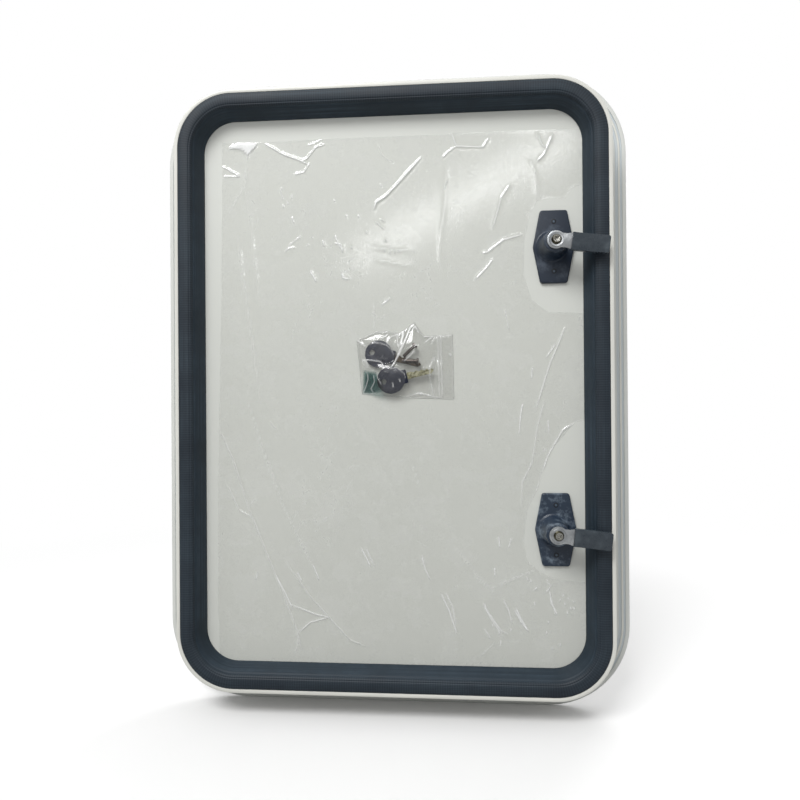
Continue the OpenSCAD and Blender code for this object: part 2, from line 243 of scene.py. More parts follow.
def unwrap_round(bm):
    """Gives a carried-round piece a UV map in metres: u along the door's edge, v across the profile."""
    total = 4 * (CORNER_X + CORNER_Y) + math.tau * MEAN_R
    layer = bm.loops.layers.uv.new("around")
    for face in bm.faces:
        found = [way_round(loop.vert.co.x, loop.vert.co.y) for loop in face.loops]
        most = max(f[0] for f in found)
        for loop, (along, across) in zip(face.loops, found):
            if most - along > total / 2:
                along += total
            loop[layer].uv = (along * MM, across * MM)


# ---- material helpers


def wire(tree, node, inputs):
    """Sets a node's inputs: each is a number, a colour or another node's output."""
    for key, value in inputs.items():
        if isinstance(value, bpy.types.NodeSocket):
            tree.links.new(value, node.inputs[key])
        else:
            node.inputs[key].default_value = value
    return node


def add(tree, kind, inputs=None, **settings):
    """Adds a node with its settings and its inputs."""
    made = tree.nodes.new(kind)
    for key, value in settings.items():
        setattr(made, key, value)
    return wire(tree, made, inputs or {})


def new_material(name):
    """A material with an empty tree, its output and a Principled shader."""
    material = bpy.data.materials.new(name)
    material.use_nodes = True
    tree = material.node_tree
    tree.nodes.clear()
    shader = add(tree, "ShaderNodeBsdfPrincipled")
    add(tree, "ShaderNodeOutputMaterial", {"Surface": shader.outputs["BSDF"]})
    return material, tree, shader


def show(tree, shader):
    """Shows another shader than the Principled one."""
    output = next(n for n in tree.nodes if n.bl_idname == "ShaderNodeOutputMaterial")
    tree.links.new(shader.outputs[0], output.inputs["Surface"])


def mixed_shader(tree, fac, low, high):
    return add(tree, "ShaderNodeMixShader", {0: fac, 1: low.outputs[0], 2: high.outputs[0]})


def rgba(colour):
    """A colour from sRGB hex or from linear values."""
    return (*(linear_rgb(colour) if isinstance(colour, str) else colour)[:3], 1.0)


def shade_between(tree, fac, low, high):
    """Mixes two colours by a factor; each may be a node's output."""
    low, high = (c if isinstance(c, bpy.types.NodeSocket) else rgba(c) for c in (low, high))
    return add(tree, "ShaderNodeMix", {0: fac, 6: low, 7: high}, data_type="RGBA").outputs["Result"]


def spread(tree, value, low, high, to_low=0.0, to_high=1.0):
    """Maps a value between two limits to two others."""
    return add(
        tree, "ShaderNodeMapRange",
        {"Value": value, "From Min": low, "From Max": high, "To Min": to_low, "To Max": to_high},
    ).outputs["Result"]


def maths(tree, operation, *values, clamp=False):
    return add(
        tree, "ShaderNodeMath", dict(enumerate(values)), operation=operation, use_clamp=clamp
    ).outputs["Value"]


def object_place(tree):
    return add(tree, "ShaderNodeTexCoord").outputs["Object"]


def cloud(tree, place, scale, detail, roughness=0.5):
    """Noise with so many cells to the metre."""
    inputs = {"Vector": place, "Scale": scale, "Detail": detail, "Roughness": roughness}
    return add(tree, "ShaderNodeTexNoise", inputs).outputs["Fac"]


def carried(tree, name):
    """A value that the mesh carries at its vertices."""
    return add(tree, "ShaderNodeAttribute", attribute_name=name, attribute_type="GEOMETRY").outputs["Fac"]


def emboss(tree, height, strength, depth_mm):
    inputs = {"Height": height, "Strength": strength, "Distance": depth_mm * MM}
    return add(tree, "ShaderNodeBump", inputs).outputs["Normal"]


def powder_coated_aluminium(colour):
    """Polyester powder coat on an aluminium extrusion: satin white with an orange peel about 1.5 mm across."""
    material, tree, shader = new_material("powder_coated_aluminium_satin")
    place = object_place(tree)
    handling = cloud(tree, place, 9.0, 4.0)
    dulled = tuple(c * 0.9 for c in colour)
    clean = shade_between(tree, spread(tree, handling, 0.35, 0.7), dulled, colour)
    wire(tree, shader, {
        # painted shade and dust: cool grey where the flange's back lies in shade, deepest in its sealant grooves
        "Base Color": shade_between(tree, carried(tree, "painted_shade_and_dust"), clean, "c6cdd0"),
        "Roughness": spread(tree, handling, 0.3, 0.7, 0.42, 0.32),
        "Normal": emboss(tree, cloud(tree, place, 620.0, 3.0), 0.12, 0.4),
    })
    return material


def extruded_epdm(colour, bloom):
    """Extruded EPDM rubber: near black and matt, with fine die lines along its length and a pale bloom."""
    material, tree, shader = new_material("extruded_epdm_rubber_matt")
    around = add(tree, "ShaderNodeUVMap", uv_map="around").outputs["UV"]
    # die lines 0.7 mm apart across the strip and very long along it
    lines_at = add(tree, "ShaderNodeMapping", {"Vector": around, "Scale": (3.0, 1400.0, 1.0)}).outputs["Vector"]
    lines = cloud(tree, lines_at, 1.0, 2.0)
    dust = cloud(tree, object_place(tree), 22.0, 6.0, 0.62)
    mixed = maths(tree, "MULTIPLY", spread(tree, lines, 0.35, 0.7), spread(tree, dust, 0.38, 0.72))
    lip = shade_between(tree, mixed, colour, bloom)
    # painted highlight: lighter stripes across the flat crest, 2.4 mm from rib to rib, stand in for the light on
    # its ribs
    run = add(tree, "ShaderNodeSeparateXYZ", {"Vector": around}).outputs["X"]
    ribs = maths(tree, "SINE", maths(tree, "MULTIPLY", run, math.tau / (2.4 * MM)))
    ribbed = maths(tree, "ADD", spread(tree, ribs, -0.2, 1.0, 0.0, 0.35), mixed, clamp=True)
    crest = shade_between(tree, ribbed, "19222b", "344049")
    wire(tree, shader, {
        "Base Color": shade_between(tree, carried(tree, "slope"), crest, lip),
        "Specular IOR Level": 0.36,
        "Roughness": spread(tree, dust, 0.3, 0.75, 0.5, 0.66),
        "Normal": emboss(tree, lines, 0.35, 0.4),
    })
    return material


def stucco_panel(colour, foot_shade_colour):
    """Pre-painted sheet with a stucco grain about 1 mm across: a soft grey-white, with painted shade that greys it
    towards the foot.
    """
    material, tree, shader = new_material("prepainted_sheet_fine_stucco")
    place = object_place(tree)
    patches = spread(tree, cloud(tree, place, 7.0, 3.0), 0.3, 0.7, -0.18, 0.18)
    # painted shade: the sheet is painted greyer towards its foot, for the light falling from above
    height = add(tree, "ShaderNodeSeparateXYZ", {"Vector": place}).outputs["Z"]
    both = maths(tree, "ADD", spread(tree, height, 0.08, 0.56), patches, clamp=True)
    wire(tree, shader, {
        "Base Color": shade_between(tree, both, foot_shade_colour, colour),
        "Roughness": 0.5,
        "Normal": emboss(tree, cloud(tree, place, 900.0, 3.0), 0.12, 0.3),
    })
    return material


def clear_film(name, haze, crease_highlight, loose_haze, blister_mm, bump_mm, crinkle):
    """Clear blown polyethylene: seen by its gloss, milky where it has come loose, with painted highlights along
    its creases and fine crinkles.
    """
    material, tree, shader = new_material(name)
    place = object_place(tree)
    # gloss: two faces of the film at once, broken up by blisters and crackle
    cells = {"Vector": place, "Scale": 1 / (blister_mm * MM)}
    blister = add(tree, "ShaderNodeTexVoronoi", cells, feature="SMOOTH_F1").outputs["Distance"]
    height = maths(tree, "MULTIPLY_ADD", blister, 0.9, cloud(tree, place, 330.0, 5.0, 0.62))
    normal = emboss(tree, height, 0.6, bump_mm)
    edge_on = add(tree, "ShaderNodeLayerWeight", {"Blend": 0.5, "Normal": normal}).outputs["Facing"]
    twice = maths(tree, "MULTIPLY_ADD", maths(tree, "POWER", edge_on, 4.0), 0.7, 0.055, clamp=True)
    gloss = add(tree, "ShaderNodeBsdfGlossy", {"Color": WHITE, "Roughness": 0.13, "Normal": normal})
    # painted glints of fine crinkles: broken bright threads round cells about 12 mm across, drawn out along the
    # film's length, in patches
    drawn = add(tree, "ShaderNodeMapping", {"Vector": place, "Scale": (1.0, 1.0, 0.55)}).outputs["Vector"]
    shaken = add(tree, "ShaderNodeTexNoise", {"Vector": drawn, "Scale": 90.0, "Detail": 3.0}).outputs["Color"]
    drawn = add(
        tree, "ShaderNodeVectorMath", {0: shaken, 1: (0.012, 0.012, 0.012), 2: drawn}, operation="MULTIPLY_ADD"
    ).outputs["Vector"]
    cells = add(tree, "ShaderNodeTexVoronoi", {"Vector": drawn, "Scale": 85.0}, feature="DISTANCE_TO_EDGE")
    threads = spread(tree, cells.outputs["Distance"], 0.005, 0.05, 1.0, 0.0)
    where = spread(tree, cloud(tree, drawn, 24.0, 3.0, 0.6), 0.54, 0.68, 0.0, crinkle)
    broken = spread(tree, cloud(tree, place, 210.0, 2.0), 0.5, 0.6)
    threads = maths(tree, "MULTIPLY", maths(tree, "MULTIPLY", threads, where), broken)
    # milkiness: a little everywhere and more where it has come loose, with the painted highlights of the crinkles
    # and creases added
    loose = spread(tree, cloud(tree, place, 30.0, 8.0, 0.72), 0.5, 0.56)
    milky = maths(tree, "ADD", threads, maths(tree, "MULTIPLY_ADD", loose, loose_haze, haze))
    milky = maths(tree, "MULTIPLY_ADD", carried(tree, "painted_highlight"), crease_highlight, milky, clamp=True)
    wire(tree, shader, {"Base Color": (0.93, 0.94, 0.93, 1), "Roughness": 0.4, "Specular IOR Level": 0.0})
    # painted reflection: where folds mirror the dark keys the bag is painted a deep bottle green
    clear_and_painted_reflection = shade_between(tree, carried(tree, "painted_key_reflection"), (0.966, 0.966, 0.962), (0.16, 0.31, 0.30))
    clear = add(tree, "ShaderNodeBsdfTransparent", {"Color": clear_and_painted_reflection})
    show(tree, mixed_shader(tree, twice, mixed_shader(tree, milky, clear, shader), gloss))
    return material


def moulded_nylon(name, colour, worn, roughness=0.42):
    """Glass-filled nylon, injection moulded: dark with a fine spark texture and faint paler scuffs."""
    material, tree, shader = new_material(name)
    place = object_place(tree)
    scuffs = cloud(tree, place, 60.0, 6.0, 0.7)
    wire(tree, shader, {
        "Base Color": shade_between(tree, spread(tree, scuffs, 0.5, 0.8), colour, worn),
        "Roughness": spread(tree, scuffs, 0.3, 0.7, roughness - 0.06, roughness + 0.1),
        "Normal": emboss(tree, cloud(tree, place, 1500.0, 2.0), 0.14, 0.2),
    })
    return material


def plated_steel(name, colour, shade, roughness, grain_mm=0.5, cloud_mm=8.0):
    """Plated or plain metal: pale grey and grainy, with duller clouds where it was handled."""
    material, tree, shader = new_material(name)
    place = object_place(tree)
    clouds = cloud(tree, place, 1 / (cloud_mm * MM), 4.0)
    wire(tree, shader, {
        "Base Color": shade_between(tree, spread(tree, clouds, 0.35, 0.65), shade, colour),
        "Metallic": 1.0,
        "Roughness": spread(tree, clouds, 0.3, 0.7, roughness + 0.1, roughness - 0.05),
        "Normal": emboss(tree, cloud(tree, place, 1 / (grain_mm * MM), 3.0), 0.22, 0.2),
    })
    return material


def cellular_foam(colour):
    """Extruded polystyrene core: cream, with closed cells about 0.4 mm across."""
    material, tree, shader = new_material("extruded_polystyrene_core")
    cells = add(tree, "ShaderNodeTexVoronoi", {"Vector": object_place(tree), "Scale": 2500.0}).outputs["Distance"]
    paler = tuple(min(1, c * 1.1) for c in linear_rgb(colour))
    wire(tree, shader, {"Base Color": shade_between(tree, cells, colour, paler), "Roughness": 0.9})
    return material


# ---- settings


def colour_setting(name, description, hex_colour):
    return FloatVectorProperty(
        name=name, description=description, subtype="COLOR", size=3, min=0, max=1, default=linear_rgb(hex_colour)
    )


class HatchColours(bpy.types.PropertyGroup):
    coat: colour_setting("Powder coat", "White of the frame, the leaf's edge and the hinge", "dfdfd8")
    panel: colour_setting("Panel", "Grey-white of the inner skin at the top", "d6d8d2")
    # painted shade: colour of the panel's foot, greyer for the light falling from above
    panel_foot_shade: colour_setting("Panel, foot", "Grey of the inner skin at the foot", "cfd1cb")
    rubber: colour_setting("Seal", "Near black of the seal's rubber", "1b2832")
    bloom: colour_setting("Seal bloom", "Paler bloom along the seal", "374551")
    nylon: colour_setting("Lock plate", "Blue-black of the moulded lock plates", "172434")
    sleeve: colour_setting("Lever sleeve", "Dark grey of the levers' soft sleeves", "333b42")


def size_setting(name, description, default, low, high, kind=FloatProperty):
    return kind(name=name, description=description, default=default, min=low, max=high)


class HatchSizes(bpy.types.PropertyGroup):
    edge_rounding: size_setting("Edge rounding", "Radius on the frame's coated edges, mm", 0.5, 0.1, 1.0)
    plate_rounding: size_setting("Plate rounding", "Radius round the face of a lock plate, mm", 1.4, 0.3, 2.5)
    film_cell: size_setting("Film mesh", "Width of a cell of the film's mesh, mm", 2.2, 1.8, 5.0)
    crease_height: size_setting("Crease height", "Scale of the film's creases", 1.0, 0.2, 2.0)
    corner_steps: size_setting("Corner steps", "Steps round each corner", 22, 8, 48, IntProperty)


class HatchSettings(bpy.types.PropertyGroup):
    colours: PointerProperty(type=HatchColours)
    sizes: PointerProperty(type=HatchSizes)


# ---- pieces


class HATCH_OT_frame(bpy.types.Operator):
    """Makes the white frame extrusion with its flange, sealant grooves and lip"""

    bl_idname = "hatch.frame"
    bl_label = "Frame extrusion"

    def execute(self, context):
        settings = context.scene.hatch_door
        # from the flange's edge inwards: a land, the outer groove, a ridge and the inner groove
        land, outer, between, inner, groove = 4.0, 2.2, 2.0, 3.0, 1.4
        edge = FLANGE_R - land
        ridge = edge - outer - between
        profile = [
            (LEG_R, -FLANGE_T), (FLANGE_R - 1, -FLANGE_T), (FLANGE_R, 1 - FLANGE_T), (FLANGE_R, 0),
            (edge, 0), (edge, -groove), (edge - outer, -groove), (edge - outer, 0),
            (ridge, 0), (ridge, -groove), (ridge - inner, -groove), (ridge - inner, 0),
            (RIM_R, 0), (RIM_R, DEPTH), (SEAL_OUT + 0.4, DEPTH), (SEAL_OUT + 0.4, DEPTH - 2.6),
            (LEG_R - 12.3, DEPTH - 11.7), (LEG_R - 11.2, DEPTH - 12.9), (LEG_R, DEPTH - 3.4),
        ]
        bm = carried_round(profile, steps=settings.sizes.corner_steps, runs=(1, 1))
        round_edges(bm, settings.sizes.edge_rounding, 2, 40)
        # painted shade and dust: the flange's back is painted a cool grey for the shade it lies in, and darker in
        # its two sealant grooves, where dust has settled and shade gathers
        shade_and_dust_layer = bm.verts.layers.float.new("painted_shade_and_dust")
        for vert in bm.verts:
            out = way_round(vert.co.x, vert.co.y)[1]
            if out > RIM_R + 0.6 and -2 < vert.co.z < 0.6:
                in_groove = vert.co.z < -0.8 and out < FLANGE_R - 3
                on_ridge = ridge - 0.1 < out < edge - outer + 0.1
                vert[shade_and_dust_layer] = 1.0 if in_groove else 0.0 if on_ridge else 0.3
        bm.transform(UPRIGHT)
        coat = powder_coated_aluminium(settings.colours.coat)
        put(bm, "white_frame", coat, "frame", "frame_extrusion", sharp=30)
        return {"FINISHED"}


class HATCH_OT_seal(bpy.types.Operator):
    """Makes the ribbed rubber seal with its butt joint"""

    bl_idname = "hatch.seal"
    bl_label = "Rubber seal"

    def execute(self, context):
        settings = context.scene.hatch_door
        s, f = SEAL_OUT, DEPTH
        profile = [
            (s + 0.3, f - 2.4), (s + 0.3, f - 0.2), (s - 0.6, f + 0.5), (s - 3.5, f + 1.1), (s - 7.5, f + 1.3),
            (s - 10.6, f + 0.9), (s - 11.4, f + 0.1), (s - 12.2, f + 0.3), (s - 13.4, f - 0.9),
            (s - 14.3, f - 3.4), (s - 15.3, f - 3.9), (s - 16.8, f - 7.2), (s - 18.9, f - 11.6),
            (s - 20.5, f - 15.6), (SEAL_IN, f - 18.2), (SEAL_IN + 2.2, f - 18.2), (SEAL_IN + 5, f - 17.4),
            (SEAL_IN + 9, f - 14.6), (LEG_R - 12.6, f - 11.7),
        ]
        bm = carried_round(profile, steps=settings.sizes.corner_steps, runs=(26, 40))
        round_edges(bm, 0.35, 2, 22)
        # hand-bent rubber wanders a few tenths of a millimetre along its run
        for vert in bm.verts:
            vert.co.z += 0.22 * noise.noise(Vector((vert.co.x, vert.co.y, 0)) * 0.012)
        unwrap_round(bm)
        # the steep inner lip is given a bluer black than the flat crest
        slope = bm.verts.layers.float.new("slope")
        for vert in bm.verts:
            vert[slope] = min(1.0, max(0.0, (DEPTH - 0.6 - vert.co.z) / 3))
        bm.transform(UPRIGHT)
        rubber = extruded_epdm(settings.colours.rubber, settings.colours.bloom)
        put(bm, "rubber_seal", rubber, "frame", "seal", sharp=50)
        return {"FINISHED"}


class HATCH_OT_leaf(bpy.types.Operator):
    """Finishes the leaf's skins, core and edge frame"""

    bl_idname = "hatch.leaf"
    bl_label = "Leaf"

    def execute(self, context):
        colours = context.scene.hatch_door.colours
        coat = bpy.data.materials["powder_coated_aluminium_satin"]
        stucco = stucco_panel(colours.panel, colours.panel_foot_shade)
        dress("leaf_inner_skin", "inner_skin_sheet", stucco, "leaf", 0)
        dress("leaf_outer_skin", "outer_skin_sheet", coat, "leaf", 0)
        dress("leaf_edge_frame", "leaf_edge_profile", coat, "leaf", 0.4)
        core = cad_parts["leaf_core"]
        core.data.materials.clear()
        core.data.materials.append(cellular_foam("e6e0c8"))
        return {"FINISHED"}


class HATCH_OT_hinge(bpy.types.Operator):
    """Finishes the hinge, its pin and its rivets"""

    bl_idname = "hatch.hinge"
    bl_label = "Hinge"

    def execute(self, context):
        coat = bpy.data.materials["powder_coated_aluminium_satin"]
        drawn = plated_steel("stainless_steel_drawn", "c4c6c8", "a9abad", 0.28)
        rivet = plated_steel("aluminium_rivet_plain", "d2d3d4", "b8b9ba", 0.34)
        dress("hinge_frame_half", "hinge_fixed_leaf", coat, "frame", 0.3)
        dress("hinge_leaf_half", "hinge_moving_leaf", coat, "leaf", 0.3)
        dress("hinge_pin", "hinge_rod", drawn, "frame", 0.3)
        dress("hinge_frame_rivets", "hinge_fixed_rivets", rivet, "frame", 0.4)
        dress("hinge_leaf_rivets", "hinge_moving_rivets", rivet, "leaf", 0.4)
        return {"FINISHED"}


def crease_rows(table):
    """Creases of a film: height and half width in millimetres, painted highlight from 0 to 1, and the line."""
    found = []
    for row in table.strip().splitlines():
        rise, half, shine, *line = row.split()
        found.append((float(rise), float(half), float(shine), [tuple(map(float, p.split(","))) for p in line]))
    return found


# The protective film's creases, a row each: height, half width, painted highlight, then the x,y of its points.
FILM_CREASES = crease_rows("""
1.2 1 0.9  -130,258 -112,247 -92,239 -85,235
1 0.9 0.9  -67,255 -76,253 -85,242 -93,237
0.6 0.8 0.6  -68,261 -80,256 -84,255
0.9 0.9 0.8  -83,236 -89,227 -99,225
0.9 1.2 0.3  -138,258 -149,245 -152,216 -170,185
1 1 0.8  -176,236 -157,225
0.8 0.9 0.7  -157,225 -175,225
0.9 1.6 0.2  -152,216 -147,182 -143,137 -137,95
1 1.6 0.25  -160,164 -156,122 -148,74 -144,43 -137,-10
1.4 1.1 0.95  33,238 19,223 8,211 -4,199 -14,193 -16,186
0.5 1 0.35  -11,253 -8,243 -2,237 5,234
1 0.9 0.8  64,262 69,248 96,246 102,255
0.8 0.9 0.8  69,248 61,243 55,237
0.6 0.9 0.6  60,214 56,204
0.5 1.4 0.15  59,234 57,188 52,153 51,119
1.1 0.9 0.85  166,256 157,236 151,230
0.7 0.9 0.5  151,259 156,245 161,242
1 1.1 0.6  123,207 114,194 110,179 105,162
1.1 1 0.8  135,156 116,151 100,139 95,138
0.9 0.9 0.75  105,131 97,121 87,111
0.6 0.8 0.9  -83,125 -81,120 -77,112
0.6 0.8 0.9  -57,160 -52,148 -48,145
0.6 0.8 0.9  -51,123 -47,116 -42,115
0.6 0.8 0.9  0,94 -9,87
0.5 0.9 0.5  -94,160 -104,152 -110,144
0.5 0.8 0.7  -115,210 -111,199
0.7 0.8 0.6  117,80 121,58
1 1 0.6  177,62 169,42 162,26 154,1 148,-19
0.7 0.8 0.7  167,44 158,31
0.6 0.8 0.9  144,21 143,10
0.7 0.8 0.9  134,-16 131,-32
0.7 1.4 0.3  143,231 149,216 150,191
0.5 1.2 0.25  -18,147 0,144 23,142
0.5 0.8 0.8  -15,173 -10,170 -6,165
0.5 1.3 0.2  -15,134 5,130 23,126
0.5 1 0.3  -18,93 -16,74 -18,59
1.3 1.3 0.35  -186,-30 -167,-70 -149,-125 -130,-172 -112,-216 -98,-253 -95,-270
1 0.9 0.8  -123,-190 -112,-210 -104,-227
1.2 1.3 0.3  -151,-10 -135,-59 -114,-119 -96,-156 -78,-192
0.9 0.8 0.9  -82,-181 -76,-197
1 1.2 0.35  -112,-177 -86,-213 -65,-236 -44,-258 -29,-264
0.8 0.8 0.8  -99,-189 -94,-198
1 0.9 0.7  -108,-222 -78,-233 -66,-235 -86,-241 -98,-252
0.9 0.9 0.9  -32,-163 -22,-182
0.6 0.8 0.7  -27,-163 -18,-182
0.8 0.9 0.8  31,-170 33,-181 39,-195
1 0.9 0.9  50,-208 59,-228 66,-250
0.8 0.8 0.7  55,-208 62,-223 65,-241
0.8 1.3 0.25  65,-162 85,-187 100,-202 105,-203
0.8 1.3 0.25  107,-199 135,-188 145,-184
0.9 0.9 0.8  93,-220 101,-235 110,-248
0.9 0.9 0.9  124,-224 131,-237 138,-246
0.6 0.8 1  109,-150 110,-161
0.5 0.8 0.8  122,-151 119,-161
0.5 0.8 0.8  104,-182 105,-189
0.8 0.8 0.9  133,-17 130,-47
1.2 1.1 0.6  186,-35 174,-42 166,-55 158,-70 153,-88 147,-105
0.8 0.8 0.8  186,-42 173,-52 167,-57
0.5 0.8 0.8  159,-32 160,-45
0.7 1.2 0.4  156,-12 149,-37 143,-75 133,-95 132,-121
0.7 0.9 0.7  159,-204 162,-216 165,-229
0.6 1 0.3  104,-258 96,-266 87,-273
0.5 0.8 0.7  -141,-190 -143,-198
0.5 0.8 0.6  -127,-33 -120,-40
0.5 1 0.3  21,-75 29,-101
1.1 1.1 0.35  -174,-96 -160,-125 -145,-133 -136,-156
0.6 1 0.3  -100,-252 -98,-260 -101,-273
0.8 0.9 0.8  147,-201 144,-204
0.8 0.9 0.6  157,-196 161,-199 156,-206
0.8 0.9 0.9  160,-210 161,-218 164,-222 167,-229
0.8 0.9 0.9  94,-218 96,-224 103,-235 111,-246
0.8 0.9 0.4  111,-246 117,-249
0.8 0.9 0.6  94,-244 100,-254
0.8 0.9 0.7  113,-214 118,-224 122,-237
0.8 0.9 1  126,-223 130,-232 138,-246
0.8 1.2 0.2  80,-188 90,-197 101,-203 104,-210
0.8 1.2 0.2  108,-202 123,-193 135,-189
0.8 0.9 0.7  -102,181 -100,174
0.8 0.9 0.8  -70,156 -68,149
0.8 0.9 0.9  -57,152 -51,151 -49,142
0.8 0.9 0.7  -109,145 -106,148 -99,149
0.8 0.9 0.95  -83,123 -81,120 -77,113
0.8 0.9 0.95  -50,121 -49,116 -44,114
0.8 0.9 0.6  -10,176 -5,173
""")
# specks and short threads with painted glints round the larger creases: x and y of both ends
FILM_GLINT_CREASES = [
    (105, -182, 105, -184), (104, -188, 105, -190), (137, -191, 137, -194), (141, -194, 141, -196),
    (144, -216, 145, -219), (157, -193, 157, -195), (173, -207, 173, -210), (178, -211, 178, -213),
    (183, -214, 183, -216), (174, -216, 175, -219), (180, -220, 180, -223), (183, -220, 184, -223),
    (170, -212, 170, -214), (177, -225, 177, -228), (102, -239, 102, -242), (108, -246, 109, -249),
    (110, -256, 110, -259), (169, -257, 170, -260), (162, -261, 162, -264), (156, -245, 156, -248),
    (158, -235, 158, -237), (120, -243, 121, -246), (-113, 212, -112, 209), (-102, 204, -102, 200),
    (-111, 194, -111, 191), (-107, 197, -106, 194), (-94, 161, -94, 158), (-81, 160, -81, 158),
    (-57, 161, -56, 158), (-40, 149, -39, 146), (-86, 152, -86, 150), (-24, 164, -24, 161),
    (-32, 181, -32, 178), (-45, 182, -45, 179), (-6, 144, -5, 142), (0, 143, 0, 140), (5, 143, 5, 140),
    (9, 144, 10, 141), (-4, 155, -4, 152), (-57, 198, -57, 195), (-9, 212, -8, 209),
]
FILM_CREASES += [(0.5, 0.8, 0.9, [(ax, ay), (bx, by)]) for ax, ay, bx, by in FILM_GLINT_CREASES]

# Where the film was torn back round each lock.
FILM_TORN_UPPER = [
    (150, 190), (163, 192), (178, 191), (185, 202), (205, 208), (205, 75), (160, 77), (144, 90),
    (136, 115), (137, 150), (143, 176),
]
FILM_TORN_LOWER = [
    (205, -32), (186, -34), (171, -52), (161, -64), (153, -85), (147, -105), (138, -123), (134, -154),
    (137, -174), (150, -186), (170, -193), (205, -196),
]
# The film's own edge, and the corner folded over at its top left.
FILM_EDGE = [
    (-176, 261), (-136, 260), (-62, 261), (32, 261), (113, 262), (205, 261), (205, -300), (-181, -300),
    (-184, -219), (-182, -62), (-178, 96),
]
FILM_FOLDED_CORNER = [(-168, 255), (-160, 260), (-138, 259), (-145, 252), (-149, 247), (-154, 253)]
FILM_CUTS = (FILM_EDGE, FILM_TORN_UPPER, FILM_TORN_LOWER)
# how far the film stands off the panel, in millimetres
FILM_LIFT = 0.08


def closed(line):
    return line + line[:1]


def inside(points, polygon):
    """Which of the points (n, 2) lie inside the polygon."""
    x, y = points[:, 0], points[:, 1]
    within = np.zeros(len(points), bool)
    for (ax, ay), (bx, by) in zip(polygon, closed(polygon)[1:]):
        if ay == by:
            continue
        crosses = (ay > y) != (by > y)
        within ^= crosses & (x < (bx - ax) * (y - ay) / (by - ay) + ax)
    return within


def from_line(points, line):
    """Distance of each point (n, 2) from a bent line, and how far along it (0 to 1) the nearest place is."""
    best = np.full(len(points), 1e9)
    along = np.zeros(len(points))
    for k, (a, b) in enumerate(zip(line, line[1:])):
        a, b = np.array(a, float), np.array(b, float)
        step = b - a
        t = np.clip(((points - a) @ step) / max(step @ step, 1e-9), 0, 1)
        gap = np.hypot(*(points - a - t[:, None] * step).T)
        nearer = gap < best
        best[nearer] = gap[nearer]
        along[nearer] = ((k + t) / (len(line) - 1))[nearer]
    return best, along


def creased(points, creases, scale=1.0):
    """Height and painted highlight that a set of creases gives each point of a thin film."""
    height = np.zeros(len(points))
    bright = np.zeros(len(points))
    for rise, half, shine, line in creases:
        gap, along = from_line(points, line)
        taper = np.clip(np.minimum(along, 1 - along) * 6 + 0.35, 0, 1)
        ridge = np.exp(-((gap / (half * 0.9)) ** 1.5)) * taper
        height = np.maximum(height, rise * scale * ridge)
        bright = np.maximum(bright, shine * np.exp(-((gap / (half * 0.68)) ** 2)) * taper)
    return height, bright


def room_to_seal(x, y):
    """Room between a point at the panel's border and the seal, in millimetres; ample anywhere further in."""
    at_border = abs(x) > CORNER_X or abs(y) > CORNER_Y
    return SEAL_IN - way_round(x, y)[1] if at_border else SEAL_IN


